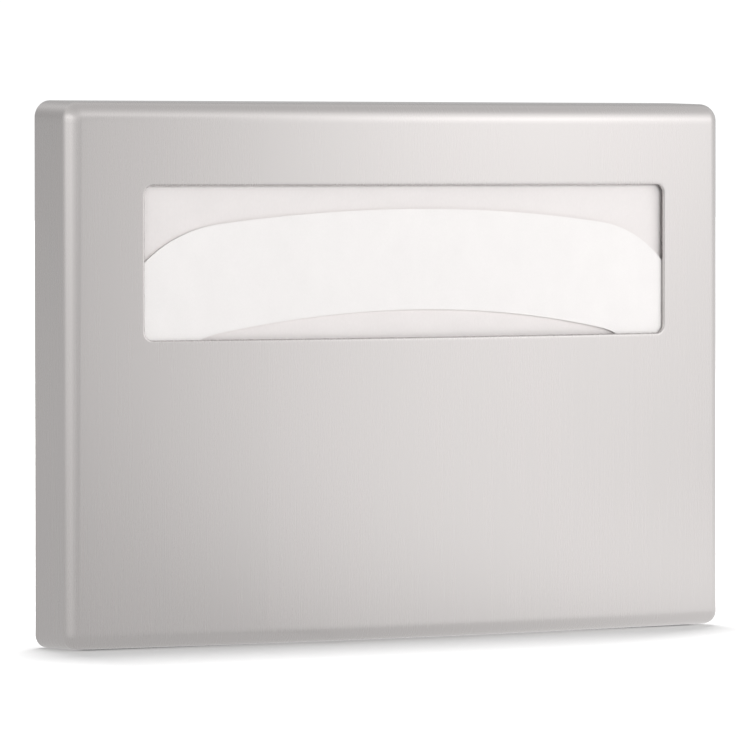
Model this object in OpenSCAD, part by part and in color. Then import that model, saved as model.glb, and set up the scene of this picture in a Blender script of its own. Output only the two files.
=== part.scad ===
// Wall dispenser for paper toilet seat covers: a drawn steel case with a bowed front,
// a bevelled window, a filling slot hidden in the base, and a pack of covers inside.
// The wall is the plane y = 0, the front faces -Y and +Z is up. The origin is the
// middle of the four wall screws. Sizes are in millimetres.

/* [Case] */
// Overall width of the case
case_w = 400; // [385:1:460]
// Overall height of the case
case_h = 285; // [275:1:340]
// Depth from the wall to the middle of the front
case_d = 57; // [52:0.5:80]
// How far the middle of the front stands ahead of its sides
bow = 19; // [10:0.5:22]
// Radius of the bend along the top and the sides
bend_r = 9; // [5:0.5:12]
// Radius of the bend along the base
base_r = 7; // [4:0.5:10]
// How far the top and the base draw in towards the front
draw_in = 1.5; // [0.5:0.1:3]
// Thickness of the steel sheet
sheet_t = 0.8; // [0.6:0.1:1.2]

/* [Window] */
// Width of the window
window_w = 318; // [240:1:330]
// Height of the window
window_h = 80; // [60:1:90]
// Height of the window's lower edge above the base
window_z = 160.5; // [158:0.5:175]
// Radius of the window's corners
window_r = 4.5; // [2:0.5:12]
// Width of the bevel around the window
bevel = 1.2; // [0.6:0.1:1.5]
// Depth of the hemmed edge behind the face of the front
rim_d = 1.6; // [1.4:0.1:2.2]

/* [Filling slot] */
// Width of the slot in the base
slot_w = 376; // [372:1:380]
// Distance from the wall to the front edge of the slot
slot_d = 32; // [28:0.5:34]
// Height of the turned-up hem along the slot
hem_h = 6; // [3:0.5:9]

/* [Back plate] */
// Depth of the welded flange at the top and the sides
flange_d = 10; // [6:0.5:14]
// Distance between the wall screws across
screw_dx = 305; // [200:1:320]
// Distance between the wall screws up and down
screw_dz = 203; // [150:1:230]
// Diameter of the screw holes
screw_d = 5; // [4:0.1:7]

/* [Pack] */
// Width of the carton
pack_w = 368; // [366:1:372]
// Thickness of the carton
pack_d = 3.6; // [3.4:0.1:8]
// Height of the carton
pack_h = 245; // [236:1:250]
// Thickness of the carton's board
board_t = 0.6; // [0.4:0.1:0.8]
// Height of the carton's lower front panel
panel_h = 130; // [100:1:136]
// Width of the posts that stay at the sides of the carton's open front
post_w = 6; // [4:0.5:9]
// Height of the band that stays above the carton's open front
band_h = 6; // [4:0.5:8]
// Height of the carton's floor above the base
rest_h = 17.5; // [14:0.5:20]
// Free space between the front of the case and the carton
pack_gap = 0.7; // [0.5:0.1:1.2]

/* [Covers] */
// Width of a folded cover
cover_w = 360; // [340:1:362]
// Height of a folded cover above its fold
cover_h = 210; // [200:1:214]
// Radius of the cover's top edge
crown_r = 920; // [700:10:1600]
// Radius of the cover's shoulders
shoulder_r = 72; // [40:1:90]
// Width of the oval opening in the cover
hole_w = 300; // [240:1:310]
// Height of the opening above the fold
hole_h = 157; // [130:1:160]
// Radius of the opening's upper edge
hole_crown_r = 615; // [400:5:1200]
// Radius of the opening's shoulders
hole_r = 40; // [20:1:60]
// Thickness of the stack of covers
stack_t = 1.2; // [0.8:0.1:1.6]
// Thickness of the cover that lies in front of the stack
cover_t = 0.4; // [0.2:0.1:0.6]

/* [Guides and rests] */
// Height of each guide
guide_h = 50; // [30:1:70]
// Distance from the top of the carton down to the guides
guide_drop = 8; // [0:1:20]
// Length of the guide's seat behind the carton
seat_l = 16; // [10:1:24]
// Length of the guide's foot on the back plate
foot_l = 14; // [8:1:20]
// Length of the guide's stop beside the carton
stop_l = 3; // [2:0.5:3.5]
// Width of each rest under the carton
rest_w = 50; // [30:1:80]
// Distance of each rest from the middle
rest_x = 110; // [80:1:140]
// Height of the lip behind the carton
lip_h = 8; // [5:0.5:12]
// Length of each rest's foot on the base
rest_foot = 5; // [3:0.5:5.5]

/* [Hidden] */

// Running clearance between loose pieces, and the seam between welded sheets
clear = 0.3;
seam = 0.1;
// Overlap that makes a cut clean or a join sound
eps = 0.01;
// Fineness of the wide arcs, of the bends and of small rounds
$fn = 48;
wide_fn = 720;
bend_fn = 32;

// The front is part of an upright cylinder
front_r = (pow(case_w / 2, 2) + bow * bow) / (2 * bow);
arc_y = front_r - case_d;
slope = draw_in / case_d;
screw_mid = case_h / 2;

// Depths behind the face of the front
carton_face = sheet_t + pack_gap;
carton_rear = carton_face + pack_d;
cover_face = max(carton_face + board_t, rim_d) + clear;
stack_face = cover_face + cover_t + eps;
guide_depth = carton_rear + clear + sheet_t / 2;

// Heights above the base
window_mid = window_z + window_h / 2;
fold_z = rest_h + board_t;
plate_low = sheet_t + seam;
plate_top = case_h - sheet_t - seam - slope * flange_d;

corner_steps = 8;
edge_steps = 32;

// Distance from the wall to the front, or to a surface parallel to it, at a width x
function arc_at(x, depth = 0) = arc_y - sqrt(pow(front_r - depth, 2) - x * x);

// Quarter circle of radius r about c, starting at the angle a
function quarter(c, r, a) = [
    for (i = [0:corner_steps])
        c + r * [cos(a + 90 * i / corner_steps), sin(a + 90 * i / corner_steps)]
];

// Points along a level edge of the window, from x = s * hx to x = -s * hx
function level_edge(hx, z, s) = [
    for (i = [1:edge_steps - 1]) [s * hx * (1 - 2 * i / edge_steps), z]
];

// Outline of the window, made wider by grow on every side
function window_loop(grow) =
    let (r = window_r + grow, hx = window_w / 2 - window_r, hz = window_h / 2 - window_r)
    concat(
        quarter([hx, hz], r, 0),
        level_edge(hx, hz + r, 1),
        quarter([-hx, hz], r, 90),
        quarter([-hx, -hz], r, 180),
        level_edge(hx, -hz - r, -1),
        quarter([hx, -hz], r, 270)
    );

// Everything is drawn from the base up and moved to the wall screws
module from_base() {
    translate([0, 0, -screw_mid]) children();
}

// Slants level things along with the base (dir = 1) or the top (dir = -1)
module drawn_in(dir) {
    multmatrix([[1, 0, 0, 0], [0, 1, 0, 0], [0, -dir * slope, 1, 0], [0, 0, 0, 1]]) children();
}

// Places things at a width x, square to the front, with y = 0 at its face
module on_front(x) {
    translate([0, arc_y, 0])
        rotate([0, 0, asin(x / front_r)])
            translate([0, -front_r, 0]) children();
}

// Upright slab between two depths behind the face of the front
module bowed_slab(depth_a, depth_b, z0, z1) {
    translate([0, arc_y, z0])
        difference() {
            cylinder(r = front_r - depth_a, h = z1 - z0, $fn = wide_fn);
            translate([0, 0, -1])
                cylinder(r = front_r - depth_b, h = z1 - z0 + 2, $fn = wide_fn);
        }
}

// Flat outline in x and z, made solid from the front of the case to the wall
module upright(y0, y1) {
    translate([0, y1, 0]) rotate([90, 0, 0]) linear_extrude(y1 - y0) children();
}

// Rectangle in x and z with its own radius for the upper and the lower corners
module rounded_plate(hx, z0, z1, r_top, r_low) {
    translate([-hx, z0 + r_low]) square([2 * hx, z1 - z0 - r_low - r_top]);
    translate([-hx + r_low, z0]) square([2 * (hx - r_low), z1 - z0 - r_top]);
    translate([-hx + r_top, z0 + r_low]) square([2 * (hx - r_top), z1 - z0 - r_low]);
    for (s = [-1, 1]) {
        translate([s * (hx - r_top), z1 - r_top]) circle(r_top);
        translate([s * (hx - r_low), z0 + r_low]) circle(r_low);
    }
}

// Strip of sheet bent along a path of points, drawn edge on
module bent_strip(path) {
    for (i = [0:len(path) - 2]) {
        run = path[i + 1] - path[i];
        translate(path[i])
            rotate(atan2(run[1], run[0]))
                translate([0, -sheet_t / 2]) square([norm(run), sheet_t]);
    }
    for (i = [1:len(path) - 2]) translate(path[i]) circle(d = sheet_t);
}

// One rim of the case: the bend along the front, its two corners and the ends at the wall
module case_rim(r, inset, back_y) {
    path_r = front_r - r;
    end_x = case_w / 2 - r;
    end_a = asin(end_x / path_r);
    translate([0, arc_y, 0])
        rotate([0, 0, -90 - end_a])
            rotate_extrude(angle = 2 * end_a, $fn = wide_fn)
                translate([path_r, 0]) circle(r - inset, $fn = bend_fn);
    for (s = [-1, 1]) {
        translate([s * end_x, arc_y - path_r * cos(end_a), 0])
            rotate([90, 0, 0]) sphere(r - inset, $fn = bend_fn);
        translate([s * end_x, back_y, 0])
            rotate([90, 0, 0]) cylinder(r = r - inset, h = eps, $fn = bend_fn);
    }
}

// Solid form of the case, inset all round, with its back at back_y
module case_form(inset, back_y) {
    hull() {
        translate([0, 0, case_h - bend_r]) drawn_in(-1) case_rim(bend_r, inset, back_y);
        translate([0, 0, base_r]) drawn_in(1) case_rim(base_r, inset, back_y);
    }
}

// Ring of metal behind the front that becomes the window's hemmed edge
module window_rim() {
    intersection() {
        translate([0, 0, window_mid])
            upright(-case_d, 0) polygon(window_loop(bevel + sheet_t));
        bowed_slab(sheet_t / 2, rim_d, window_z - case_d, window_z + window_h + case_d);
    }
}

// Cutter for the window, flared at the face of the front to leave the bevel
module window_cut() {
    flare = bevel + 1;
    back_y = arc_at(window_w / 2) + rim_d + 1;
    outer = window_loop(flare);
    inner = window_loop(0);
    n = len(inner);
    rings = [
        [for (p = outer) [p[0], -case_d - 5, p[1]]],
        [for (p = outer) [p[0], arc_at(p[0]) - 1, p[1]]],
        [for (p = inner) [p[0], arc_at(p[0]) + bevel, p[1]]],
        [for (p = inner) [p[0], back_y, p[1]]]
    ];
    translate([0, 0, window_mid])
        polyhedron(
            points = [for (ring = rings) for (p = ring) p],
            faces = concat(
                [[for (i = [n - 1:-1:0]) i]],
                [for (k = [0:2]) for (i = [0:n - 1])
                    [k * n + i, k * n + (i + 1) % n, (k + 1) * n + (i + 1) % n, (k + 1) * n + i]],
                [[for (i = [0:n - 1]) 3 * n + i]]
            )
        );
}

module front_shell() {
    from_base() color("#d3cfcc") {
        difference() {
            union() {
                difference() {
                    case_form(0, 0);
                    case_form(sheet_t, 1);
                }
                window_rim();
            }
            window_cut();
            translate([-slot_w / 2, -slot_d, -1])
                cube([slot_w, slot_d + 1, 1 + draw_in + 2 * sheet_t]);
        }
        translate([-slot_w / 2, -slot_d - sheet_t, slope * slot_d + sheet_t / 2])
            cube([slot_w, sheet_t, hem_h]);
    }
}

module back_plate() {
    hx = case_w / 2 - sheet_t - seam;
    r_top = bend_r - sheet_t - seam;
    r_low = base_r - sheet_t - seam;
    from_base() color("#c4c0bd")
        difference() {
            union() {
                upright(-sheet_t, 0) rounded_plate(hx, plate_low, plate_top, r_top, r_low);
                upright(-flange_d, -sheet_t / 2)
                    difference() {
                        rounded_plate(hx, plate_low, plate_top, r_top, r_low);
                        rounded_plate(hx - sheet_t, plate_low + sheet_t, plate_top - sheet_t,
                                      r_top - sheet_t, r_low - sheet_t);
                        translate([-case_w / 2, 0]) square([case_w, 2 * base_r]);
                    }
            }
            for (sx = [-1, 1], sz = [-1, 1])
                translate([sx * screw_dx / 2, 1, screw_mid + sz * screw_dz / 2])
                    rotate([90, 0, 0]) cylinder(d = screw_d, h = sheet_t + 2);
        }
}

// Bent strip that stands on the back plate and keeps the side of the carton forward
module guide(s) {
    out_x = pack_w / 2 + clear + sheet_t / 2;
    in_x = out_x - seat_l;
    foot_y = -1.5 * sheet_t;
    seat_y = arc_at(out_x, guide_depth);
    path = [
        [in_x - foot_l, foot_y],
        [in_x, foot_y],
        [in_x, arc_at(in_x, guide_depth)],
        [out_x, seat_y],
        [out_x, seat_y - stop_l]
    ];
    from_base()
        mirror([s < 0 ? 1 : 0, 0, 0])
            translate([0, 0, rest_h + pack_h - guide_drop - guide_h])
                linear_extrude(guide_h) bent_strip(path);
}

module left_guide() {
    color("#b9b5b2") guide(-1);
}

module right_guide() {
    color("#b9b5b2") guide(1);
}

// Bent strip on the base that carries the carton and holds it with a lip
module rest(s) {
    foot_z = draw_in + 1.5 * sheet_t;
    seat_z = rest_h - sheet_t / 2;
    front_y = carton_face + sheet_t;
    path = [
        [base_r + rest_foot, foot_z],
        [base_r, foot_z],
        [front_y, seat_z],
        [guide_depth, seat_z],
        [guide_depth, seat_z + lip_h]
    ];
    from_base()
        on_front(s * rest_x)
            translate([-rest_w / 2, 0, 0])
                rotate([90, 0, 90]) linear_extrude(rest_w) bent_strip(path);
}

module left_rest() {
    color("#b9b5b2") rest(-1);
}

module right_rest() {
    color("#b9b5b2") rest(1);
}

// Board carton, bowed with the front, with most of its front panel torn away
module carton() {
    top_z = rest_h + pack_h;
    from_base() color("#e6e1de")
        difference() {
            intersection() {
                bowed_slab(carton_face, carton_rear, rest_h, top_z);
                translate([-pack_w / 2, -case_d, rest_h]) cube([pack_w, case_d, pack_h]);
            }
            intersection() {
                bowed_slab(carton_face + board_t, carton_rear - board_t, fold_z, top_z - board_t);
                translate([board_t - pack_w / 2, -case_d, fold_z])
                    cube([pack_w - 2 * board_t, case_d, pack_h - 2 * board_t]);
            }
            intersection() {
                bowed_slab(0, carton_face + 2 * board_t, rest_h + panel_h, top_z - band_h);
                translate([post_w - pack_w / 2, -case_d, rest_h + panel_h])
                    cube([pack_w - 2 * post_w, case_d, pack_h]);
            }
        }
}

// Outline of a folded cover above its fold: a crowned top that runs into round shoulders
module folded_outline(w, h, r_crown, r_shoulder) {
    shoulder_x = w / 2 - r_shoulder;
    crown_z = h - r_crown;
    shoulder_z = crown_z + sqrt(pow(r_crown - r_shoulder, 2) - pow(shoulder_x, 2));
    meet_x = shoulder_x * r_crown / (r_crown - r_shoulder);
    translate([-w / 2, 0]) square([w, shoulder_z]);
    for (s = [-1, 1]) translate([s * shoulder_x, shoulder_z]) circle(r_shoulder);
    intersection() {
        translate([0, crown_z]) circle(r_crown, $fn = wide_fn);
        translate([-meet_x, 0]) square([2 * meet_x, h]);
    }
}

module cover_outline() {
    difference() {
        folded_outline(cover_w, cover_h, crown_r, shoulder_r);
        folded_outline(hole_w, hole_h, hole_crown_r, hole_r);
        translate([-hole_w / 2, -1]) square([hole_w, 2]);
    }
}

// Covers that follow the bow of the front between two depths behind its face
module covers(depth_a, depth_b) {
    from_base()
        intersection() {
            bowed_slab(depth_a, depth_b, fold_z, fold_z + cover_h);
            translate([0, 0, fold_z]) upright(-case_d, 0) cover_outline();
        }
}

module cover_stack() {
    color("#f4f1ee") covers(stack_face, stack_face + stack_t);
}

module front_cover() {
    color("#fbf9f7") covers(cover_face, cover_face + cover_t);
}

front_shell();
back_plate();
left_guide();
right_guide();
left_rest();
right_rest();
carton();
cover_stack();
front_cover();
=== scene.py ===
# Looks for a wall dispenser for paper toilet seat covers: a satin steel case with a bowed
# front and a rolled window edge, a board carton and folded tissue covers inside.
# Lengths are in millimetres until a mesh is made, and heights are counted from the base.

import math
import random

import bmesh
import bpy
import numpy as np
from mathutils import Matrix, Vector
from mathutils.geometry import delaunay_2d_cdt


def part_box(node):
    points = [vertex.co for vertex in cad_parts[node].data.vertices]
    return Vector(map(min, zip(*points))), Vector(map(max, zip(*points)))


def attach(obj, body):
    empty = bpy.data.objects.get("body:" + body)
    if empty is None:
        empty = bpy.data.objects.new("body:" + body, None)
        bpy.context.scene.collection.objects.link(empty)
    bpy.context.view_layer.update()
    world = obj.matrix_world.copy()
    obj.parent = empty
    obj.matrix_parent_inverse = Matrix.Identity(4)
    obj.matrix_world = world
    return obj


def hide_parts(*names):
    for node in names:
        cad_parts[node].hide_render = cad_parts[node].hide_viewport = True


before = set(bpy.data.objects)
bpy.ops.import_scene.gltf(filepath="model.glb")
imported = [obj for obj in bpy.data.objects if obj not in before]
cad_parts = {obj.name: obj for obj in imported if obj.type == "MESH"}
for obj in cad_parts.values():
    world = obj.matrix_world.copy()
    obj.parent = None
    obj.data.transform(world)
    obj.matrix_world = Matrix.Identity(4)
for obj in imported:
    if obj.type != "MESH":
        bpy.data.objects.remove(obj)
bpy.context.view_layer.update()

MM = 0.001

# Overall size of the case and the height of its base, taken from the frame
shell_low, shell_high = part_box("front_shell")
CASE_W = (shell_high.x - shell_low.x) / MM
CASE_H = (shell_high.z - shell_low.z) / MM
CASE_D = (shell_high.y - shell_low.y) / MM
BASE_Z = shell_low.z / MM

# Form of the case, as in the part's source
BOW = 19
BEND_R = 9
BASE_R = 7
DRAW_IN = 1.5
SHEET_T = 0.8
WINDOW_W = 318
WINDOW_H = 80
WINDOW_Z = 160.5
WINDOW_R = 4.5
ROLL = 1.2
RIM_D = 1.6
SLOT_W = 376
SLOT_D = 32
HEM_H = 6

# Pack and covers, as in the part's source
PACK_GAP = 0.7
BOARD_T = 0.6
REST_H = 17.5
COVER_W = 360
COVER_H = 210
CROWN_R = 920
SHOULDER_R = 72
HOLE_W = 300
HOLE_H = 157
HOLE_CROWN_R = 615
HOLE_R = 40
COVER_T = 0.4
STACK_T = 1.2

# Running clearance between loose pieces, as in the part's source
CLEAR = 0.3

FRONT_R = ((CASE_W / 2) ** 2 + BOW**2) / (2 * BOW)
ARC_Y = FRONT_R - CASE_D
SLOPE = DRAW_IN / CASE_D
WINDOW_MID = WINDOW_Z + WINDOW_H / 2
COVER_FACE = max(SHEET_T + PACK_GAP + BOARD_T, RIM_D) + CLEAR
STACK_FACE = COVER_FACE + COVER_T
FOLD_Z = REST_H + BOARD_T

# Fineness of the shell's mesh
BEND_STEPS = 12
SIDE_STEPS = 6
CORNER_STEPS = 8
ROLL_STEPS = 8
TOP_STEPS = 96
JAMB_STEPS = 20
RING_STEPS = 4
# Power that makes the rings finer toward the window
RING_POWER = 0.5
HEM_STEPS = 4
EDGE_STEPS = 6
SIDE_COLUMNS = 6
LOW_ROWS = 12
HIGH_ROWS = 4
# Distance of the plain rows of the front from its bends
ROW_MARGIN = 3
# Distance from the centre of a window corner to the frame of plain columns around it
FRAME_R = 14
# Rounding of the folded edge at the filling slot
HEM_R = 0.5
# Mean radius of the bends, for the length of the grain around them
MEAN_BEND_R = (BEND_R + BASE_R) / 2
# Distance from the corners of the base to the next columns of its sides
CORNER_GAP = 0.1
# Slack for comparing two widths
TOUCH = 0.01

# Welding of a mesh and length of an edge that counts as none, both in metres
WELD = 2e-6
NO_LENGTH = 1e-7
# Angle between two faces, in degrees, above which their edge is a crease
CREASE = 35


def arc_at(x, depth=0.0):
    """Distance from the wall to the front, or to a surface parallel to it, at a width x."""
    return ARC_Y - np.sqrt((FRONT_R - depth) ** 2 - np.square(x))


def grain_u(x):
    """Length along the front from its middle to a width x."""
    return FRONT_R * np.arcsin(np.asarray(x) / FRONT_R)


class Patches:
    """Grids of quads with their own grain coordinates, welded into one mesh at the end."""

    def __init__(self):
        self.points = []
        self.faces = []
        self.uvs = []
        self.count = 0

    def grid(self, points, uv, keep=None):
        """Adds rows by columns of points. keep says which cells become faces."""
        points = np.asarray(points, float)
        uv = np.asarray(uv, float)
        rows, cols = points.shape[:2]
        index = self.count + np.arange(rows * cols).reshape(rows, cols)
        for i in range(rows - 1):
            for j in range(cols - 1):
                if keep is not None and not keep[i][j]:
                    continue
                cell = ((i, j), (i, j + 1), (i + 1, j + 1), (i + 1, j))
                self.faces.append([int(index[c]) for c in cell])
                self.uvs.append([uv[c] for c in cell])
        self.points.append(points.reshape(-1, 3))
        self.count += rows * cols

    def polygon(self, points):
        """Adds one flat face."""
        points = np.asarray(points, float)
        self.faces.append(list(range(self.count, self.count + len(points))))
        self.uvs.append([(p[0], p[2]) for p in points])
        self.points.append(points)
        self.count += len(points)

    def mesh(self, name):
        """One mesh in metres in the frame, with its doubles welded and its faces turned out."""
        built = bmesh.new()
        places = np.concatenate(self.points)
        places[:, 2] += BASE_Z
        verts = [built.verts.new(p * MM) for p in places]
        layer = built.loops.layers.uv.new("grain")
        for face, uv in zip(self.faces, self.uvs):
            made = built.faces.new([verts[i] for i in face])
            for loop, place in zip(made.loops, uv):
                loop[layer].uv = Vector(place) * MM
        bmesh.ops.remove_doubles(built, verts=built.verts, dist=WELD)
        bmesh.ops.dissolve_degenerate(built, edges=built.edges, dist=NO_LENGTH)
        loose = [v for v in built.verts if not v.link_faces]
        bmesh.ops.delete(built, geom=loose, context="VERTS")
        bmesh.ops.recalc_face_normals(built, faces=built.faces)
        mesh = bpy.data.meshes.new(name)
        built.to_mesh(mesh)
        built.free()
        return mesh


def finish_edges(mesh):
    """Smooth shading with creases where two faces meet at an angle."""
    built = bmesh.new()
    built.from_mesh(mesh)
    for face in built.faces:
        face.smooth = True
    for edge in built.edges:
        edge.smooth = not (
            len(edge.link_faces) == 2
            and edge.calc_face_angle(0) > math.radians(CREASE)
        )
    built.to_mesh(mesh)
    built.free()


def piece(name, mesh, material, slot, *nodes):
    """Puts a mesh in the scene as a piece that stands for some CAD nodes."""
    obj = bpy.data.objects.new(name, mesh)
    bpy.context.scene.collection.objects.link(obj)
    mesh.materials.append(material)
    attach(obj, "root")
    if nodes:
        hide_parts(*nodes)
    return obj


# Window loops: each is a closed list of points that runs round the window from its right jamb

CORNER_X = WINDOW_W / 2 - WINDOW_R
CORNER_Z = WINDOW_H / 2 - WINDOW_R


def loop_of(corner):
    """A loop from a corner function, with straight runs between its corners."""
    hx, hz = CORNER_X, CORNER_Z
    runs = []
    for sx, sz in ((1, 1), (-1, 1), (-1, -1), (1, -1)):
        arc = [corner(k / CORNER_STEPS) for k in range(CORNER_STEPS + 1)]
        if sx * sz < 0:
            arc = arc[::-1]
        runs.append([(sx * (hx + a), sz * (hz + b)) for a, b in arc])
    run_x = [hx * (1 - 2 * k / TOP_STEPS) for k in range(1, TOP_STEPS)]
    run_z = [hz * (1 - 2 * k / JAMB_STEPS) for k in range(1, JAMB_STEPS)]
    return np.array(
        runs[0]
        + [(x, runs[0][-1][1]) for x in run_x]
        + runs[1]
        + [(runs[1][-1][0], z) for z in run_z]
        + runs[2]
        + [(-x, runs[2][-1][1]) for x in run_x]
        + runs[3]
        + [(runs[3][-1][0], -z) for z in run_z]
        + runs[0][:1]
    )


def window_loop(grow):
    """The edge of the window, made wider by grow on every side."""
    radius = WINDOW_R + grow

    def corner(t):
        return radius * math.cos(t * math.pi / 2), radius * math.sin(t * math.pi / 2)

    return loop_of(corner)


def frame_loop():
    """The square frame around the window, where the plain columns and rows end."""

    def corner(t):
        return FRAME_R * min(1, 2 - 2 * t), FRAME_R * min(1, 2 * t)

    return loop_of(corner)


def ring_points(loop, y):
    """A loop in x and z as points at the depths y, with its heights counted from the base."""
    return np.column_stack([loop[:, 0], y, loop[:, 1] + WINDOW_MID])


# Columns and rows of the shell


def front_columns():
    """Widths of the upright columns of the front, on its outer face."""
    frame_x = CORNER_X + FRAME_R
    slot_x = SLOT_W / 2 * FRONT_R / (FRONT_R - BASE_R)
    steps = CORNER_STEPS // 2
    right = [CORNER_X + FRAME_R * k / steps for k in range(1, steps + 1)]
    right += list(np.linspace(frame_x, slot_x, SIDE_COLUMNS)[1:])
    middle = [CORNER_X * (1 - 2 * k / TOP_STEPS) for k in range(TOP_STEPS, -1, -1)]
    return np.array([-x for x in right[::-1]] + middle + right)


def face_rows():
    """Heights of the level rows of the front between its two bends."""
    steps = CORNER_STEPS // 2
    frame_z = CORNER_Z + FRAME_R
    jamb = [CORNER_Z * (1 - 2 * k / JAMB_STEPS) for k in range(JAMB_STEPS, -1, -1)]
    corner = [CORNER_Z + FRAME_R * k / steps for k in range(1, steps + 1)]
    rows = [-z for z in corner[::-1]] + jamb + corner
    low = list(np.linspace(BASE_R + ROW_MARGIN, WINDOW_MID - frame_z, LOW_ROWS)[:-1])
    top_row = CASE_H - BEND_R - ROW_MARGIN
    high = list(np.linspace(WINDOW_MID + frame_z, top_row, HIGH_ROWS)[1:])
    return np.array(low + [WINDOW_MID + z for z in rows] + high)


FRONT_X = front_columns()
FACE_Z = face_rows()


def rim_columns(r, side_y):
    """Core points, outward normals and grain lengths of the columns round a rim of radius r."""
    path_r = FRONT_R - r
    end_x = CASE_W / 2 - r
    end_a = math.asin(end_x / path_r)
    end_y = ARC_Y - path_r * math.cos(end_a)
    turn = np.linspace(math.pi / 2, end_a, BEND_STEPS + 1)[1:]
    front_a = np.arcsin(FRONT_X / FRONT_R)

    side = [(-end_x, y) for y in side_y]
    bend = [(-end_x, end_y)] * BEND_STEPS
    front = [(path_r * math.sin(a), ARC_Y - path_r * math.cos(a)) for a in front_a]
    core = side + bend + front + [(-x, y) for x, y in bend + side[::-1]]

    angles = np.concatenate([-turn, front_a, turn[::-1]])
    turned = [(math.sin(a), -math.cos(a)) for a in angles]
    normal = [(-1, 0)] * len(side_y) + turned + [(1, 0)] * len(side_y)

    bend_u = FRONT_R * end_a + MEAN_BEND_R * (turn - end_a)
    outer_u = bend_u[0] + MEAN_BEND_R * (math.pi / 2 - turn[0])
    side_u = np.array([outer_u + (y - side_y[-1]) for y in side_y])
    u = np.concatenate([-side_u, -bend_u, grain_u(FRONT_X), bend_u[::-1], side_u[::-1]])
    return np.array(core, float), np.array(normal, float), u


def corner_y(r):
    """Depth of the centre line of the side bends, on a rim of radius r."""
    path_r = FRONT_R - r
    return ARC_Y - math.sqrt(path_r**2 - (CASE_W / 2 - r) ** 2)


def side_depths(r, first):
    """Depths of a side's columns: evenly from the wall to the first one, and its corner."""
    return list(np.linspace(0, first, SIDE_STEPS)) + [corner_y(r)]


def rim_point(core, normal, r, centre_z, inset, tilt, angle):
    """Points of a rim at an angle above the level, slanted with the base or the top."""
    reach = (r - inset) * math.cos(angle)
    xy = core + reach * normal
    z = centre_z + (r - inset) * math.sin(angle) - tilt * SLOPE * xy[:, 1]
    return np.column_stack([xy, z])


def shell_skin(made, inset, window_edge):
    """One side of the sheet, at an inset from the outside: front, sides, top and base.

    Returns its points from the base bend to the top bend, those of the top and the base, and
    which columns of the base end at the filling slot.
    """
    slot_row = -SLOT_D - (HEM_R if inset == 0 else SHEET_T)
    base_first = corner_y(BASE_R) + CORNER_GAP
    base_core, base_normal, u = rim_columns(BASE_R, side_depths(BASE_R, base_first))
    top_first = corner_y(BEND_R) * (1 - 1 / SIDE_STEPS)
    top_core, top_normal, _ = rim_columns(BEND_R, side_depths(BEND_R, top_first))

    turn = np.linspace(0, math.pi / 2, BEND_STEPS + 1)
    base_rim = (base_core, base_normal, BASE_R, BASE_R, inset, 1)
    top_rim = (top_core, top_normal, BEND_R, CASE_H - BEND_R, inset, -1)
    base_rows = [rim_point(*base_rim, -a) for a in turn[::-1]]
    top_rows = [rim_point(*top_rim, a) for a in turn]
    low, high = base_rows[-1], top_rows[0]
    face = []
    for z in FACE_Z:
        share = (z - low[:, 2]) / (high[:, 2] - low[:, 2])
        face.append(low + share[:, None] * (high - low))
    points = np.array(base_rows + face + top_rows)
    v = np.concatenate([BASE_R - BASE_R * turn[::-1], FACE_Z, CASE_H - BEND_R + BEND_R * turn])
    uv = np.stack(np.meshgrid(u, v), axis=-1)

    # Cells inside the frame around the window are left to the ring
    column_x = points[len(base_rows), :, 0] * FRONT_R / (FRONT_R - inset)
    keep = np.ones((points.shape[0] - 1, points.shape[1] - 1), bool)
    inside_x = np.abs((column_x[1:] + column_x[:-1]) / 2) < CORNER_X + FRAME_R
    front = np.zeros_like(inside_x)
    first = SIDE_STEPS + 1 + BEND_STEPS
    front[first:first + len(FRONT_X) - 1] = True
    mid_z = (v[1:] + v[:-1]) / 2
    inside_z = np.abs(mid_z - WINDOW_MID) < CORNER_Z + FRAME_R
    keep[np.ix_(inside_z, inside_x & front)] = False
    made.grid(points, uv, keep)

    # Ring between the frame and the edge of the window
    outer_loop = frame_loop()
    outer_loop[:, 0] *= (FRONT_R - inset) / FRONT_R
    ring = []
    for k in range(RING_STEPS + 1):
        share = (k / RING_STEPS) ** RING_POWER
        loop = outer_loop + share * (window_edge - outer_loop)
        ring.append(ring_points(loop, arc_at(loop[:, 0], inset)))
    ring = np.array(ring)
    made.grid(ring, np.stack([grain_u(ring[:, :, 0]), ring[:, :, 2]], axis=-1))

    # Top and base, from the end of their bends back to the wall
    span = slice(SIDE_STEPS + BEND_STEPS, -(SIDE_STEPS + BEND_STEPS))
    flat_u = u[span]
    top_edge = top_core[span]
    near = 1 - 1 / SIDE_STEPS
    shares = [1] + [near * (1 - k / (SIDE_STEPS - 1)) for k in range(SIDE_STEPS)]
    top = [[(x, y * s, CASE_H - inset + SLOPE * y * s) for x, y in top_edge] for s in shares]
    top_v = [CASE_H + CASE_D * (1 - s) for s in shares]
    made.grid(top, np.stack(np.meshgrid(flat_u, top_v), axis=-1))

    base_edge = base_core[span]
    in_slot = np.abs(base_edge[:, 0]) < SLOT_W / 2 + TOUCH
    second = np.where(in_slot, slot_row, base_first)
    rows = [base_edge[:, 1]] + [second * (1 - k / (SIDE_STEPS - 1)) for k in range(SIDE_STEPS)]
    base = [[(x, y, inset - SLOPE * y) for x, y in zip(base_edge[:, 0], row)] for row in rows]
    bend_v = BASE_R - BASE_R * math.pi / 2
    base_v = [bend_v - CASE_D * k / SIDE_STEPS for k in range(SIDE_STEPS + 1)]
    keep = np.ones((SIDE_STEPS, len(base_edge) - 1), bool)
    keep[1:, :] = ~(in_slot[1:] & in_slot[:-1])
    made.grid(base, np.stack(np.meshgrid(flat_u, base_v), axis=-1), keep)
    return points, np.array(top), np.array(base), in_slot


def strip(made, a, b):
    """A strip of quads between two rows of points."""
    rows = np.array([a, b])
    made.grid(rows, rows[:, :, [0, 2]])


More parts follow.
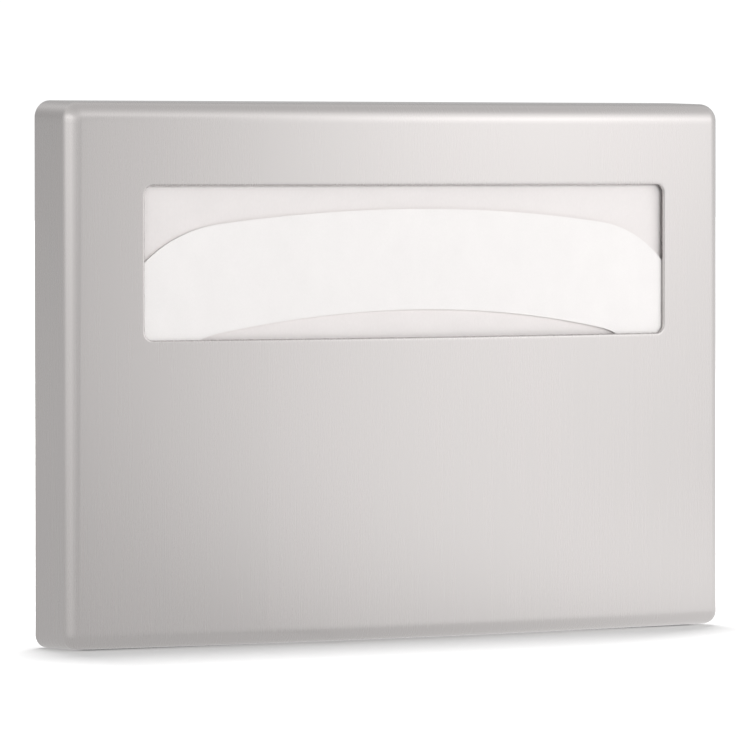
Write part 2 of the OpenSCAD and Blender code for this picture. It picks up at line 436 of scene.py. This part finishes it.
def window_edge_rings():
    """Edge of the window: rolled in, straight back, and round to the inside of the sheet."""
    rings = []
    for k in range(ROLL_STEPS + 1):
        angle = math.pi / 2 * k / ROLL_STEPS
        loop = window_loop(ROLL * (1 - math.sin(angle)))
        rings.append(ring_points(loop, arc_at(loop[:, 0]) + ROLL * (1 - math.cos(angle))))
    for grow, depth in ((0, RIM_D), (ROLL + SHEET_T, RIM_D), (ROLL + SHEET_T, SHEET_T)):
        loop = window_loop(grow)
        rings.append(ring_points(loop, arc_at(loop[:, 0], depth)))
    return np.array(rings)


def hem_section():
    """Section of the hem along the filling slot: points in y and z from its outer face."""
    base_z = SLOPE * SLOT_D
    half = SHEET_T / 2
    top = base_z + half + HEM_H
    section = [(-SLOT_D - HEM_R, -SLOPE * (-SLOT_D - HEM_R))]
    for k in range(1, HEM_STEPS + 1):
        angle = math.pi / 2 * k / HEM_STEPS
        y = -SLOT_D - HEM_R * (1 - math.sin(angle))
        section.append((y, base_z + HEM_R * (1 - math.cos(angle))))
    for k in range(EDGE_STEPS + 1):
        angle = math.pi * k / EDGE_STEPS
        y = -SLOT_D - half + half * math.cos(angle)
        section.append((y, top - half + half * math.sin(angle)))
    section.append((-SLOT_D - SHEET_T, SHEET_T - SLOPE * (-SLOT_D - SHEET_T)))
    return section


def front_shell_mesh():
    """The case with both skins of its sheet, the window's edge and the hem at the slot."""
    made = Patches()
    outer, outer_top, outer_base, in_slot = shell_skin(made, 0, window_loop(ROLL))
    inner, inner_top, inner_base, _ = shell_skin(made, SHEET_T, window_loop(ROLL + SHEET_T))
    rings = window_edge_rings()
    made.grid(rings, np.stack([grain_u(rings[:, :, 0]), rings[:, :, 2]], axis=-1))

    # Raw edges of the sheet at the wall
    for column in (0, -1):
        strip(made, outer[:, column], inner[:, column])
    strip(made, outer_top[-1], inner_top[-1])
    first = int(np.argmax(in_slot))
    last = len(in_slot) - first - 1
    for part in (slice(0, first + 1), slice(last, len(in_slot))):
        strip(made, outer_base[-1][part], inner_base[-1][part])

    # Raw edges at the ends of the filling slot, and the hem along its front
    for column in (first, last):
        strip(made, outer_base[1:, column], inner_base[1:, column])
    x = outer_base[1][first:last + 1, 0]
    section = hem_section()
    rows = np.array([[(px, y, z) for px in x] for y, z in section])
    lengths = np.cumsum([0] + [math.dist(a, b) for a, b in zip(section, section[1:])])
    made.grid(rows, np.stack(np.meshgrid(grain_u(x), lengths), axis=-1))
    for column in (0, -1):
        made.polygon(rows[:, column])
    mesh = made.mesh("case")
    finish_edges(mesh)
    return mesh


# Covers: flat outlines made of arcs, filled with a fine net and laid on the bowed surface

CROWN_STEPS = 30
SHOULDER_STEPS = 20
# Spacing of the nets of the first cover and of the stack, and the share between their rows
COVER_NET = 5
STACK_NET = 14
NET_ROW = 0.87
# Distance at which the net takes two points as one
NET_MERGE = 1e-4
# Thickness of the first cover, and the depth of its face behind the face of the CAD's
COVER_SHEET = 0.23
COVER_BACK = 0.1
# Waves of the first cover: height, length over 2 pi across and up, and shift across
WAVE_HEIGHT = 0.07
WAVE_X, WAVE_Z = 41, 29
WAVE_SHIFT = 0.6
# Layers of the stack: number, room toward the board that they fill, share of the pitch that is
# paper, and how far their edges lie inside the outline, with its spread
STACK_LAYERS = 6
TO_BOARD = 0.4
LAYER_SHARE = 0.97
STACK_SHRINK = 0.3
SHRINK_SPREAD = 0.1
STACK_SEED = 7


def arch(width, height, crown_r, shoulder_r, shrink):
    """Outline of an arch from its left foot to its right foot, made smaller by shrink."""
    shoulder_x = width / 2 - shoulder_r
    crown_z = height - crown_r
    shoulder_z = crown_z + math.sqrt((crown_r - shoulder_r) ** 2 - shoulder_x**2)
    meet = math.asin(shoulder_x / (crown_r - shoulder_r))
    crown = [(0, crown_z, crown_r - shrink, a) for a in np.linspace(0, meet, CROWN_STEPS)]
    turn = np.linspace(meet, math.pi / 2, SHOULDER_STEPS)[1:]
    shoulder = [(shoulder_x, shoulder_z, shoulder_r - shrink, a) for a in turn]
    path = [(x + r * math.sin(a), z + r * math.cos(a)) for x, z, r, a in crown + shoulder]
    path.append((width / 2 - shrink, 0))
    return [(-x, z) for x, z in path[:0:-1]] + path


def cover_outline(shrink=0.0):
    """Outline of a folded cover with its opening, as one closed path in x and z."""
    outer = arch(COVER_W, COVER_H, CROWN_R, SHOULDER_R, shrink)
    hole = arch(HOLE_W, HOLE_H, HOLE_CROWN_R, HOLE_R, -shrink)
    return outer + hole[::-1]


def sheet_net(outline, spacing):
    """Triangles that fill an outline, with inner points on a staggered net."""
    ring = [Vector(p) for p in outline]
    xs, zs = [p[0] for p in outline], [p[1] for p in outline]
    points = list(ring)
    row = 0
    z = min(zs) + spacing
    while z < max(zs):
        x = min(xs) + spacing * (0.5 if row % 2 else 1)
        while x < max(xs):
            points.append(Vector((x, z)))
            x += spacing
        z += spacing * NET_ROW
        row += 1
    edges = [(i, (i + 1) % len(ring)) for i in range(len(ring))]
    verts, _, faces = delaunay_2d_cdt(points, edges, [], 0, NET_MERGE)[:3]
    inside = [f for f in faces if within(outline, centre(verts, f))]
    return verts, inside


def centre(verts, face):
    """Middle of a triangle."""
    return sum((verts[i] for i in face), Vector((0, 0))) / len(face)


def within(outline, p):
    """Whether a point lies inside a closed outline."""
    odd = False
    for (ax, az), (bx, bz) in zip(outline, outline[1:] + outline[:1]):
        if (az > p[1]) != (bz > p[1]) and p[0] < (bx - ax) * (p[1] - az) / (bz - az) + ax:
            odd = not odd
    return odd


def add_sheet(built, outline, spacing, depth, thick, wave):
    """A sheet of paper that follows the bow at a depth, with a wave in its surface."""
    verts, faces = sheet_net(outline, spacing)
    sides = []
    for offset in (0, thick):
        side = []
        for v in verts:
            out = depth + offset + wave(v[0], v[1])
            angle = math.asin(v[0] / (FRONT_R - depth))
            x = (FRONT_R - out) * math.sin(angle)
            y = ARC_Y - (FRONT_R - out) * math.cos(angle)
            side.append(built.verts.new(Vector((x, y, v[1] + FOLD_Z + BASE_Z)) * MM))
        sides.append(side)
    front, back = sides
    count = {}
    for face in faces:
        built.faces.new([front[i] for i in face])
        built.faces.new([back[i] for i in face[::-1]])
        for a, b in zip(face, list(face[1:]) + list(face[:1])):
            key = (min(a, b), max(a, b))
            count.setdefault(key, []).append((a, b))
    for pairs in count.values():
        if len(pairs) == 1:
            a, b = pairs[0]
            built.faces.new((front[b], front[a], back[a], back[b]))


def covers_mesh(name, layers):
    """A mesh of sheets, each given as the arguments of add_sheet."""
    built = bmesh.new()
    for layer in layers:
        add_sheet(built, *layer)
    bmesh.ops.recalc_face_normals(built, faces=built.faces)
    mesh = bpy.data.meshes.new(name)
    built.to_mesh(mesh)
    built.free()
    finish_edges(mesh)
    return mesh


def soft_wave(x, z):
    """Slight unevenness of the cover that lies in front."""
    return WAVE_HEIGHT * math.sin(x / WAVE_X + WAVE_SHIFT) * math.sin(z / WAVE_Z)


def flat(x, z):
    """No wave, for the layers of the stack."""
    return 0.0


def front_cover_mesh():
    layer = (cover_outline(), COVER_NET, COVER_FACE + COVER_BACK, COVER_SHEET, soft_wave)
    return covers_mesh("front_cover", [layer])


def cover_stack_mesh():
    """Layers with slightly uneven edges, each standing for a few covers."""
    draw = random.Random(STACK_SEED)
    layers = []
    pitch = (STACK_T + TO_BOARD) / STACK_LAYERS
    for k in range(STACK_LAYERS):
        shrink = STACK_SHRINK + draw.uniform(-SHRINK_SPREAD, SHRINK_SPREAD)
        depth = STACK_FACE + pitch * k
        layers.append((cover_outline(shrink), STACK_NET, depth, pitch * LAYER_SHARE, flat))
    return covers_mesh("cover_stack", layers)


# Materials


def new_material(name):
    """A material with its nodes, its links and its shader."""
    material = bpy.data.materials.new(name)
    material.use_nodes = True
    nodes = material.node_tree.nodes
    return material, nodes, material.node_tree.links, nodes["Principled BSDF"]


def noise(nodes, links, vector, scale, detail=3, roughness=0.55):
    """Noise that is stretched by a scale along each coordinate of a vector socket."""
    stretch = nodes.new("ShaderNodeVectorMath")
    stretch.operation = "MULTIPLY"
    stretch.inputs[1].default_value = scale
    links.new(vector, stretch.inputs[0])
    texture = nodes.new("ShaderNodeTexNoise")
    texture.inputs["Scale"].default_value = 1
    texture.inputs["Detail"].default_value = detail
    texture.inputs["Roughness"].default_value = roughness
    links.new(stretch.outputs[0], texture.inputs["Vector"])
    return texture.outputs["Fac"]


def spread(nodes, links, value, low, high, from_low=0.3, from_high=0.7):
    """A value, such as a noise, moved from one range into the range from low to high."""
    ramp = nodes.new("ShaderNodeMapRange")
    ramp.inputs["From Min"].default_value = from_low
    ramp.inputs["From Max"].default_value = from_high
    ramp.inputs["To Min"].default_value = low
    ramp.inputs["To Max"].default_value = high
    links.new(value, ramp.inputs["Value"])
    return ramp.outputs["Result"]


def weigh(nodes, links, a, b, share):
    """Mix of two values, with the share that the second one has."""
    mix = nodes.new("ShaderNodeMix")
    mix.data_type = "FLOAT"
    mix.inputs["Factor"].default_value = share
    links.new(a, mix.inputs["A"])
    links.new(b, mix.inputs["B"])
    return mix.outputs["Result"]


def vary(nodes, links, value, colour, darkest, lightest):
    """Colour that a noise value takes from its darkest to its lightest share."""
    mix = nodes.new("ShaderNodeMix")
    mix.data_type = "RGBA"
    mix.inputs["A"].default_value = (*[c * darkest for c in colour], 1)
    mix.inputs["B"].default_value = (*[min(1, c * lightest) for c in colour], 1)
    links.new(spread(nodes, links, value, 0, 1), mix.inputs["Factor"])
    return mix.outputs["Result"]


def add_bump(nodes, links, height, shader, strength, distance):
    """Relief of a shader from a height socket, with its distance in metres."""
    bump = nodes.new("ShaderNodeBump")
    bump.inputs["Strength"].default_value = strength
    bump.inputs["Distance"].default_value = distance
    links.new(height, bump.inputs["Height"])
    links.new(bump.outputs["Normal"], shader.inputs["Normal"])


def satin_steel(name, colour, roughness, anisotropy, uv_map=None):
    """Stainless steel with a fine grain that runs up the sheet.

    The scales of its threads, streaks and clouds are repeats in a metre across and along the
    grain, on the sheet's own coordinates where it has them and on the object's elsewhere.
    """
    material, nodes, links, shader = new_material(name)
    if uv_map:
        source = nodes.new("ShaderNodeUVMap")
        source.uv_map = uv_map
        place = source.outputs["UV"]
        fine, broad, cloud = (5200, 22, 1), (420, 7, 1), (14, 6, 1)
        tangent = nodes.new("ShaderNodeTangent")
        tangent.direction_type = "UV_MAP"
        tangent.uv_map = uv_map
        links.new(tangent.outputs["Tangent"], shader.inputs["Tangent"])
    else:
        place = nodes.new("ShaderNodeTexCoord").outputs["Object"]
        fine, broad, cloud = (5200, 5200, 22), (420, 420, 7), (14, 14, 6)
    threads = noise(nodes, links, place, fine, 2)
    streaks = noise(nodes, links, place, broad, 4)
    clouds = noise(nodes, links, place, cloud, 3)
    grain = weigh(nodes, links, threads, streaks, 0.55)
    shade = weigh(nodes, links, grain, clouds, 0.35)
    links.new(vary(nodes, links, shade, colour, 0.988, 1.012), shader.inputs["Base Color"])
    rough = spread(nodes, links, shade, roughness - 0.02, roughness + 0.02)
    links.new(rough, shader.inputs["Roughness"])
    shader.inputs["Metallic"].default_value = 1
    shader.inputs["Anisotropic"].default_value = anisotropy
    add_bump(nodes, links, grain, shader, 0.03, 0.00004)
    return material


def board(name, colour):
    """Pale smooth carton board with a faint fibre."""
    material, nodes, links, shader = new_material(name)
    place = nodes.new("ShaderNodeTexCoord").outputs["Object"]
    fibre = noise(nodes, links, place, (900, 900, 500), 3)
    patch = noise(nodes, links, place, (40, 40, 60), 2)
    mixed = weigh(nodes, links, fibre, patch, 0.5)
    links.new(vary(nodes, links, mixed, colour, 0.97, 1.02), shader.inputs["Base Color"])
    links.new(spread(nodes, links, fibre, 0.6, 0.75), shader.inputs["Roughness"])
    shader.inputs["Specular IOR Level"].default_value = 0.25
    add_bump(nodes, links, fibre, shader, 0.15, 0.00003)
    return material


def tissue(name, colour):
    """Soft thin paper with fibres and a slight cockle."""
    material, nodes, links, shader = new_material(name)
    place = nodes.new("ShaderNodeTexCoord").outputs["Object"]
    fibre = noise(nodes, links, place, (1500, 1500, 1100), 4, 0.65)
    cockle = noise(nodes, links, place, (70, 70, 45), 2)
    mixed = weigh(nodes, links, fibre, cockle, 0.4)
    links.new(vary(nodes, links, mixed, colour, 0.965, 1.015), shader.inputs["Base Color"])
    links.new(spread(nodes, links, fibre, 0.82, 0.95), shader.inputs["Roughness"])
    shader.inputs["Specular IOR Level"].default_value = 0.15
    add_bump(nodes, links, mixed, shader, 0.25, 0.0001)
    return material


case_steel = satin_steel("case_steel", (0.545, 0.522, 0.515), 0.27, 0.5, "grain")
plate_steel = satin_steel("plate_steel", (0.56, 0.54, 0.532), 0.42, 0.3)
strip_steel = satin_steel("strip_steel", (0.55, 0.53, 0.522), 0.38, 0.3)
carton_board = board("carton_board", (0.873, 0.835, 0.826))
front_paper = tissue("front_paper", (0.945, 0.92, 0.91))
stack_paper = tissue("stack_paper", (0.93, 0.905, 0.893))


def repaint(node, material):
    """Gives a CAD node that is shown as it is a material of this scene."""
    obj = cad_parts[node]
    obj.data.materials.clear()
    obj.data.materials.append(material)


for node_name in ("left_guide", "right_guide", "left_rest", "right_rest"):
    repaint(node_name, strip_steel)
repaint("back_plate", plate_steel)
repaint("carton", carton_board)

case = piece("case", front_shell_mesh(), case_steel, "case_steel", "front_shell")
even = case.modifiers.new("even_normals", "WEIGHTED_NORMAL")
even.keep_sharp = True
even.weight = 50
piece("first_cover", front_cover_mesh(), front_paper, "cover_paper", "front_cover")
piece("covers", cover_stack_mesh(), stack_paper, "stack_paper", "cover_stack")


# Studio: a pale surround and floor, soft lamps and the camera


def direction(azimuth, elevation):
    """Unit vector seen from the case: azimuth 0 is straight ahead of it and 90 is +X."""
    a, e = math.radians(azimuth), math.radians(elevation)
    return Vector((math.sin(a) * math.cos(e), -math.cos(a) * math.cos(e), math.sin(e)))


# Soft patches of the surround as the steel mirrors it: azimuth, elevation, half width, level added
PATCHES = (
    (46, 0, 42, 0.46),
    (40, -2, 30, 0.47),
    (35, 20, 60, 0.10),
    (40, 27, 28, 0.31),
    (-85, 2, 36, 0.52),
    (-120, 2, 30, 0.22),
    (-55, 2, 28, 0.26),
    (-150, 0, 42, -0.45),
    (72, 4, 30, -0.16),
    (10, 4, 24, -0.31),
    (0, 90, 65, -0.19),
    (150, 10, 45, -0.40),
)
# Level of the surround as the steel mirrors it, apart from the patches
MIRRORED_LEVEL = 1.0
# Level of the surround where it is seen directly, as a white background
WHITE_LEVEL = 1.05
# Even level at which the surround lights paper, board and floor
LIGHT_LEVEL = 0.38


def rays(nodes, links, *names):
    """1 for rays of the named kinds, and 0 for all others."""
    path = nodes.new("ShaderNodeLightPath")
    found = path.outputs[names[0]]
    for name in names[1:]:
        either = nodes.new("ShaderNodeMath")
        either.operation = "MAXIMUM"
        links.new(found, either.inputs[0])
        links.new(path.outputs[name], either.inputs[1])
        found = either.outputs[0]
    return found


def choose(nodes, links, share, usual, chosen):
    """The usual level, or the chosen one where the share is 1. Each is a number or a socket."""
    mix = nodes.new("ShaderNodeMix")
    mix.data_type = "FLOAT"
    links.new(share, mix.inputs["Factor"])
    for socket, level in ((mix.inputs["A"], usual), (mix.inputs["B"], chosen)):
        if isinstance(level, bpy.types.NodeSocket):
            links.new(level, socket)
        else:
            socket.default_value = level
    return mix.outputs["Result"]


def soft_patch(nodes, links, value, edge, middle, added):
    """A level that rises softly from 0 at the edge of a patch to its middle."""
    patch = nodes.new("ShaderNodeMapRange")
    patch.interpolation_type = "SMOOTHSTEP"
    patch.inputs["From Min"].default_value = edge
    patch.inputs["From Max"].default_value = middle
    patch.inputs["To Min"].default_value = 0
    patch.inputs["To Max"].default_value = added
    links.new(value, patch.inputs["Value"])
    return patch.outputs["Result"]


def add_up(nodes, links, base, levels):
    """The sum of a base level and the levels of patches."""
    total = None
    for level in levels:
        add = nodes.new("ShaderNodeMath")
        add.operation = "ADD"
        add.inputs[0].default_value = base
        if total:
            links.new(total, add.inputs[0])
        links.new(level, add.inputs[1])
        total = add.outputs[0]
    return total


def surround():
    """World that is white where it is seen, lights evenly and is mirrored with soft patches."""
    world = bpy.data.worlds.new("surround")
    bpy.context.scene.world = world
    world.use_nodes = True
    nodes, links = world.node_tree.nodes, world.node_tree.links
    toward = nodes.new("ShaderNodeTexCoord").outputs["Generated"]
    patches = []
    for azimuth, elevation, half_width, added in PATCHES:
        facing = nodes.new("ShaderNodeVectorMath")
        facing.operation = "DOT_PRODUCT"
        facing.inputs[1].default_value = direction(azimuth, elevation)
        links.new(toward, facing.inputs[0])
        edge = math.cos(math.radians(half_width))
        patches.append(soft_patch(nodes, links, facing.outputs["Value"], edge, 1, added))
    level = add_up(nodes, links, MIRRORED_LEVEL, patches)
    level = choose(nodes, links, rays(nodes, links, "Is Glossy Ray"), LIGHT_LEVEL, level)
    seen = rays(nodes, links, "Is Camera Ray", "Is Transmission Ray")
    level = choose(nodes, links, seen, level, WHITE_LEVEL)
    links.new(level, nodes["Background"].inputs["Strength"])
    nodes["Background"].inputs["Color"].default_value = (1, 1, 1, 1)


# Soft lamps, which light paper, board and floor and aren't mirrored by the steel:
# name, azimuth, elevation, width and height in metres, and level
LAMPS = (
    ("key", 2, 8, 2.4, 1.6, 5.5),
    ("side", 45, 10, 2.4, 1.6, 1.7),
    ("back", 150, 45, 3.0, 2.0, 8.0),
)
LAMP_DISTANCE = 4.0


def lamps():
    """Area lamps that all point at the case."""
    for name, azimuth, elevation, width, height, level in LAMPS:
        data = bpy.data.lights.new(name, "AREA")
        data.shape = "RECTANGLE"
        data.size = width
        data.size_y = height
        data.energy = level * math.pi * width * height
        lamp = bpy.data.objects.new(name, data)
        toward = direction(azimuth, elevation)
        lamp.location = toward * LAMP_DISTANCE
        lamp.rotation_euler = toward.to_track_quat("Z", "Y").to_euler()
        lamp.visible_camera = False
        lamp.visible_glossy = False
        bpy.context.scene.collection.objects.link(lamp)


FLOOR_SIZE = 40
FLOOR_COLOUR = (0.82, 0.82, 0.82, 1)
# Glow that turns the floor into the white surround: beside the case, and at a distance from it.
# # Being weaker beside the case, it paints shade there on top of the case's own shadow, over a
# reach in metres
FLOOR_GLOW_WITH_PAINTED_SHADE = (0.19, 1.0)
PAINTED_SHADE_REACH = 0.15
# Level of the floor as the steel mirrors it, where it glows without shading, and the painted light
# on it:
# # slopes, each from a width, to a width in metres, and the level that each adds, which make it
# lighter toward +X
MIRRORED_FLOOR = 0.71
MIRRORED_FLOOR_PAINTED_LIGHT = ((-0.3, 0.6, 0.62), (0.5, 1.2, -0.2), (-0.4, -1.8, 0.06))


def case_distance(nodes, links, place):
    """Distance on the floor from the outline of the case."""
    half = Vector((CASE_W, CASE_D, 0)) * MM / 2
    middle = Vector((0, -CASE_D / 2 * MM, 0))
    steps = (
        ("SUBTRACT", middle),
        ("ABSOLUTE", None),
        ("SUBTRACT", half),
        ("MAXIMUM", Vector()),
        ("LENGTH", None),
    )
    for operation, other in steps:
        step = nodes.new("ShaderNodeVectorMath")
        step.operation = operation
        if other is not None:
            step.inputs[1].default_value = other
        links.new(place, step.inputs[0])
        place = step.outputs[0]
    return step.outputs["Value"]


def floor():
    """Pale floor that looks white away from the case and keeps its shadow, deepened by painted
    shade where its glow is weaker beside the case; as the steel mirrors it, it glows with painted
    light.
    """
    built = bmesh.new()
    bmesh.ops.create_grid(built, x_segments=1, y_segments=1, size=FLOOR_SIZE / 2)
    mesh = bpy.data.meshes.new("floor")
    built.to_mesh(mesh)
    built.free()
    obj = bpy.data.objects.new("floor", mesh)
    obj.location.z = BASE_Z * MM
    bpy.context.scene.collection.objects.link(obj)
    material, nodes, links, shader = new_material("floor")
    shader.inputs["Base Color"].default_value = FLOOR_COLOUR
    shader.inputs["Roughness"].default_value = 1
    shader.inputs["Specular IOR Level"].default_value = 0
    shader.inputs["Emission Color"].default_value = (1, 1, 1, 1)
    place = nodes.new("ShaderNodeTexCoord").outputs["Object"]
    distance = case_distance(nodes, links, place)
    # Painted shade: the glow is weaker beside the case, which darkens the floor there
    glow_with_painted_shade = spread(nodes, links, distance, *FLOOR_GLOW_WITH_PAINTED_SHADE, 0, PAINTED_SHADE_REACH)
    seen = rays(nodes, links, "Is Camera Ray", "Is Transmission Ray")
    links.new(choose(nodes, links, seen, 0, glow_with_painted_shade), shader.inputs["Emission Strength"])
    # As the steel mirrors it, the floor is a glow with painted light, lighter toward +X
    painted_floor_glow = nodes.new("ShaderNodeEmission")
    across = nodes.new("ShaderNodeSeparateXYZ")
    links.new(place, across.inputs[0])
    painted_light_slopes = [soft_patch(nodes, links, across.outputs["X"], *slope) for slope in MIRRORED_FLOOR_PAINTED_LIGHT]
    level = add_up(nodes, links, MIRRORED_FLOOR, painted_light_slopes)
    links.new(level, painted_floor_glow.inputs["Strength"])
    both = nodes.new("ShaderNodeMixShader")
    links.new(rays(nodes, links, "Is Glossy Ray"), both.inputs["Fac"])
    links.new(shader.outputs["BSDF"], both.inputs[1])
    links.new(painted_floor_glow.outputs["Emission"], both.inputs[2])
    links.new(both.outputs["Shader"], nodes["Material Output"].inputs["Surface"])
    mesh.materials.append(material)


# The camera, as fitted to the outline and the window in the photo
CAMERA_AZIMUTH = 30.158
CAMERA_PITCH = 1.902
CAMERA_AIM = (-10.03, -25, 139.74)
CAMERA_DISTANCE = 3516.6
FOCAL_PIXELS = 6620.7
FRAME_PIXELS = 750
SENSOR = 36
CLIP_END = 100


def camera():
    """The camera of the photo."""
    data = bpy.data.cameras.new("camera")
    data.sensor_width = SENSOR
    data.lens = FOCAL_PIXELS * SENSOR / FRAME_PIXELS
    data.clip_end = CLIP_END
    obj = bpy.data.objects.new("camera", data)
    a, p = math.radians(CAMERA_AZIMUTH), math.radians(CAMERA_PITCH)
    ahead = Vector((math.sin(a) * math.cos(p), math.cos(a) * math.cos(p), -math.sin(p)))
    right = Vector((math.cos(a), -math.sin(a), 0))
    up = right.cross(ahead)
    aim = Vector(CAMERA_AIM) + Vector((0, 0, BASE_Z))
    turned = Matrix((right, up, -ahead)).transposed().to_4x4()
    obj.matrix_world = Matrix.Translation((aim - ahead * CAMERA_DISTANCE) * MM) @ turned
    bpy.context.scene.collection.objects.link(obj)
    bpy.context.scene.camera = obj


surround()
lamps()
floor()
camera()
bpy.context.scene.view_settings.view_transform = "Standard"
